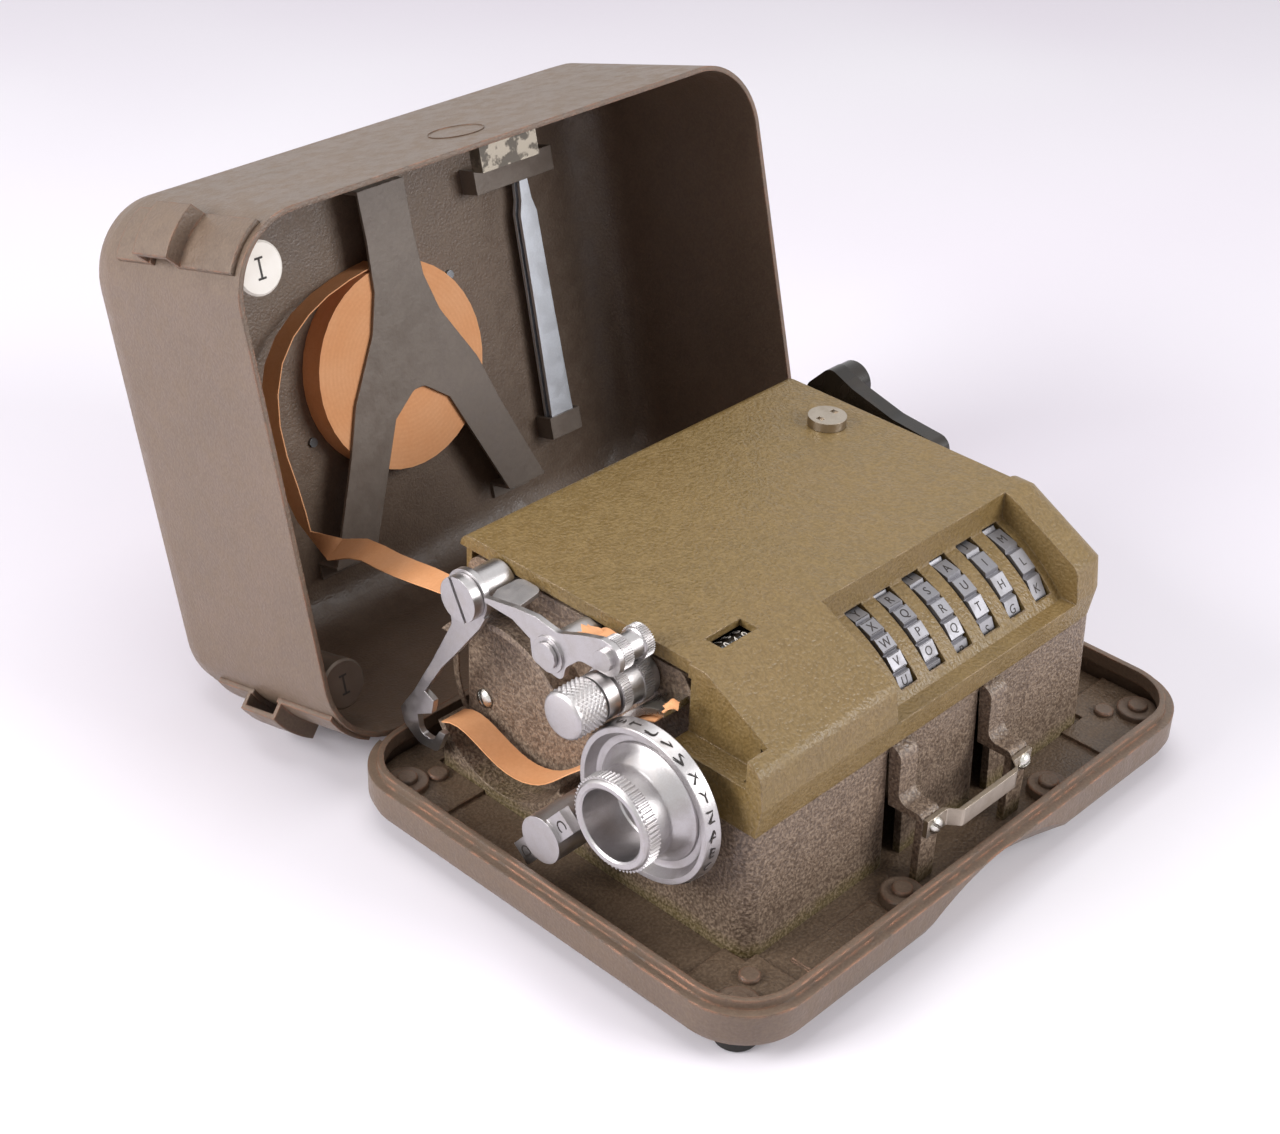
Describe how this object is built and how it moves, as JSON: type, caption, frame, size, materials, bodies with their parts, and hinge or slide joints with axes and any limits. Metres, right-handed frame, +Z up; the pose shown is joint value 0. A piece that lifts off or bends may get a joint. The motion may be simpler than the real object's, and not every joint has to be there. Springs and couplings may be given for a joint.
{
  "type": "rotor cipher machine",
  "caption": "Hand-operated rotor cipher machine in a hinged metal case, with pinned key wheels, a slide-bar drum, a letter disk and a paper-tape printer.",
  "frame": {"origin": "centre of the tray footprint at table level, on the plane of the feet", "axes": "+Z up, +X to the side of the drive handle, -Y to the front with the key wheel windows, +Y to the hinge of the outer lid"},
  "size_m": [0.18, 0.2297, 0.1442],
  "materials": {
    "black_paint": "gloss black",
    "brass": "satin",
    "case_paint": "wrinkle enamel, worn",
    "cover_paint": "olive wrinkle enamel",
    "frame_paint": "dark brown wrinkle enamel",
    "light_cap": "off-white",
    "nickel": "nickel plated",
    "paper": "peach paper tape",
    "rubber": "matte",
    "satin_alloy": "satin",
    "steel": "oiled"
  },
  "bodies": {
    "base": {"base_tray": "case_paint", "hinge_pins": "steel", "rubber_feet": "rubber", "floor_plate": "frame_paint", "body_shell": "frame_paint", "left_frame": "frame_paint", "right_frame": "frame_paint", "wheel_shaft": "steel", "guide_arm_rod": "steel", "counter_frame": "steel", "frame_posts": "nickel", "tape_guide": "nickel", "catch_legs": "frame_paint", "catch_bar": "nickel", "machine_screws": "nickel", "tape_run": "paper"},
    "lid": {"outer_lid": "case_paint", "strap_loops": "case_paint", "lid_catch": "nickel", "catch_disc": "case_paint", "reel_retainer": "case_paint", "lid_rivets": "steel", "tweezer_clips": "case_paint", "light_can": "light_cap", "dark_can": "frame_paint", "can_clips": "steel", "tape_free": "paper"},
    "reel": {"tape_roll": "paper"},
    "tweezers": {"tweezers": "nickel"},
    "cover": {"inner_cover": "cover_paint"},
    "lock": {"lock_knob": "nickel"},
    "drum": {"drum_shaft": "steel", "drum_discs": "steel", "slide_bars": "steel", "slide_bar_lugs": "brass", "drive_handle": "black_paint"},
    "setting": {"setting_knob": "satin_alloy", "indicator_disk": "satin_alloy", "type_wheel": "steel"},
    "feed": {"feed_roller": "satin_alloy"},
    "press_arm": {"pressure_arm": "satin_alloy"},
    "press_roller": {"pressure_roller": "satin_alloy"},
    "hook": {"tape_hook": "nickel"},
    "mode": {"mode_knob": "satin_alloy"},
    "wheel_1": {"key_wheel_1": "satin_alloy"},
    "arm_1": {"guide_arm_1": "steel"},
    "wheel_2": {"key_wheel_2": "satin_alloy"},
    "arm_2": {"guide_arm_2": "steel"},
    "wheel_3": {"key_wheel_3": "satin_alloy"},
    "arm_3": {"guide_arm_3": "steel"},
    "wheel_4": {"key_wheel_4": "satin_alloy"},
    "arm_4": {"guide_arm_4": "steel"},
    "wheel_5": {"key_wheel_5": "satin_alloy"},
    "arm_5": {"guide_arm_5": "steel"},
    "wheel_6": {"key_wheel_6": "satin_alloy"},
    "arm_6": {"guide_arm_6": "steel"},
    "count_1": {"counter_wheel_1": "black_paint"},
    "count_2": {"counter_wheel_2": "black_paint"},
    "count_3": {"counter_wheel_3": "black_paint"},
    "count_4": {"counter_wheel_4": "black_paint"}
  },
  "joints": [
    {"name": "outer_lid_hinge", "type": "hinge", "parent": "base", "child": "lid", "pos_m": [0, 0.0664, 0.0147], "axis": [-1, 0, 0], "range_deg": [-104.39, 0], "deforming": ["tape_free"]},
    {"name": "tape_roll_spin", "type": "hinge", "parent": "lid", "child": "reel", "pos_m": [-0.002, 0.14374, 0.06346], "axis": [0, 0.9686, -0.2485], "continuous": true},
    {"name": "tweezers_slide", "type": "slide", "parent": "lid", "child": "tweezers", "axis": [0, 0.2485, 0.9686], "range_m": [0, 0.006]},
    {"name": "inner_cover_hinge", "type": "hinge", "parent": "base", "child": "cover", "pos_m": [0, 0.0566, 0.0544], "axis": [-1, 0, 0], "range_deg": [0, 88]},
    {"name": "lock_knob_turn", "type": "hinge", "parent": "cover", "child": "lock", "pos_m": [0.0464, 0.0299, 0.0704], "axis": [0, 0, -1], "range_deg": [0, 90]},
    {"name": "drum_turn", "type": "hinge", "parent": "base", "child": "drum", "pos_m": [0, 0.022, 0.0454], "axis": [1, 0, 0], "continuous": true},
    {"name": "key_wheel_1_turn", "type": "hinge", "parent": "base", "child": "wheel_1", "pos_m": [-0.0074, -0.0218, 0.0441], "axis": [1, 0, 0], "continuous": true},
    {"name": "key_wheel_2_turn", "type": "hinge", "parent": "base", "child": "wheel_2", "pos_m": [0.0033, -0.0218, 0.0441], "axis": [1, 0, 0], "continuous": true},
    {"name": "key_wheel_3_turn", "type": "hinge", "parent": "base", "child": "wheel_3", "pos_m": [0.014, -0.0218, 0.0441], "axis": [1, 0, 0], "continuous": true},
    {"name": "key_wheel_4_turn", "type": "hinge", "parent": "base", "child": "wheel_4", "pos_m": [0.0247, -0.0218, 0.0441], "axis": [1, 0, 0], "continuous": true},
    {"name": "key_wheel_5_turn", "type": "hinge", "parent": "base", "child": "wheel_5", "pos_m": [0.0354, -0.0218, 0.0441], "axis": [1, 0, 0], "continuous": true},
    {"name": "key_wheel_6_turn", "type": "hinge", "parent": "base", "child": "wheel_6", "pos_m": [0.0461, -0.0218, 0.0441], "axis": [1, 0, 0], "continuous": true},
    {"name": "guide_arm_1_swing", "type": "hinge", "parent": "base", "child": "arm_1", "pos_m": [-0.0024, 0.0016, 0.0214], "axis": [1, 0, 0], "range_deg": [-0.8, 6], "stiffness_Nm_per_rad": 0.02},
    {"name": "guide_arm_2_swing", "type": "hinge", "parent": "base", "child": "arm_2", "pos_m": [0.0083, 0.0016, 0.0214], "axis": [1, 0, 0], "range_deg": [-0.8, 6], "stiffness_Nm_per_rad": 0.02},
    {"name": "guide_arm_3_swing", "type": "hinge", "parent": "base", "child": "arm_3", "pos_m": [0.019, 0.0016, 0.0214], "axis": [1, 0, 0], "range_deg": [-0.8, 6], "stiffness_Nm_per_rad": 0.02},
    {"name": "guide_arm_4_swing", "type": "hinge", "parent": "base", "child": "arm_4", "pos_m": [0.0297, 0.0016, 0.0214], "axis": [1, 0, 0], "range_deg": [-0.8, 6], "stiffness_Nm_per_rad": 0.02},
    {"name": "guide_arm_5_swing", "type": "hinge", "parent": "base", "child": "arm_5", "pos_m": [0.0404, 0.0016, 0.0214], "axis": [1, 0, 0], "range_deg": [-0.8, 6], "stiffness_Nm_per_rad": 0.02},
    {"name": "guide_arm_6_swing", "type": "hinge", "parent": "base", "child": "arm_6", "pos_m": [0.0511, 0.0016, 0.0214], "axis": [1, 0, 0], "range_deg": [-0.8, 6], "stiffness_Nm_per_rad": 0.02},
    {"name": "counter_wheel_1_turn", "type": "hinge", "parent": "base", "child": "count_1", "pos_m": [-0.04845, -0.0174, 0.0653], "axis": [1, 0, 0], "continuous": true},
    {"name": "counter_wheel_2_turn", "type": "hinge", "parent": "base", "child": "count_2", "pos_m": [-0.04545, -0.0174, 0.0653], "axis": [1, 0, 0], "continuous": true},
    {"name": "counter_wheel_3_turn", "type": "hinge", "parent": "base", "child": "count_3", "pos_m": [-0.04245, -0.0174, 0.0653], "axis": [1, 0, 0], "continuous": true},
    {"name": "counter_wheel_4_turn", "type": "hinge", "parent": "base", "child": "count_4", "pos_m": [-0.03945, -0.0174, 0.0653], "axis": [1, 0, 0], "continuous": true},
    {"name": "setting_knob_turn", "type": "hinge", "parent": "base", "child": "setting", "pos_m": [-0.076, -0.0218, 0.0441], "axis": [1, 0, 0], "continuous": true},
    {"name": "feed_roller_turn", "type": "hinge", "parent": "base", "child": "feed", "pos_m": [-0.07, -0.0045, 0.063], "axis": [1, 0, 0], "continuous": true},
    {"name": "pressure_arm_swing", "type": "hinge", "parent": "base", "child": "press_arm", "pos_m": [-0.0712, 0.0115, 0.0659], "axis": [-1, 0, 0], "range_deg": [0, 9], "stiffness_Nm_per_rad": 0.05, "springref_deg": -2.86},
    {"name": "pressure_roller_turn", "type": "hinge", "parent": "press_arm", "child": "press_roller", "pos_m": [-0.0654, -0.006, 0.0734], "axis": [1, 0, 0], "continuous": true},
    {"name": "tape_hook_swing", "type": "hinge", "parent": "base", "child": "hook", "pos_m": [-0.0692, 0.0406, 0.0667], "axis": [-1, 0, 0], "range_deg": [0, 28]},
    {"name": "mode_knob_turn", "type": "hinge", "parent": "base", "child": "mode", "pos_m": [-0.07, 0.0018, 0.0249], "axis": [1, 0, 0], "range_deg": [0, 180]}
  ],
  "couplings": [
    {"joint": "counter_wheel_1_turn", "follows": "drum_turn", "ratio": 0.0001},
    {"joint": "counter_wheel_2_turn", "follows": "drum_turn", "ratio": 0.001},
    {"joint": "counter_wheel_3_turn", "follows": "drum_turn", "ratio": 0.01},
    {"joint": "counter_wheel_4_turn", "follows": "drum_turn", "ratio": 0.1},
    {"joint": "pressure_roller_turn", "follows": "feed_roller_turn", "ratio": -1.4634}
  ]
}
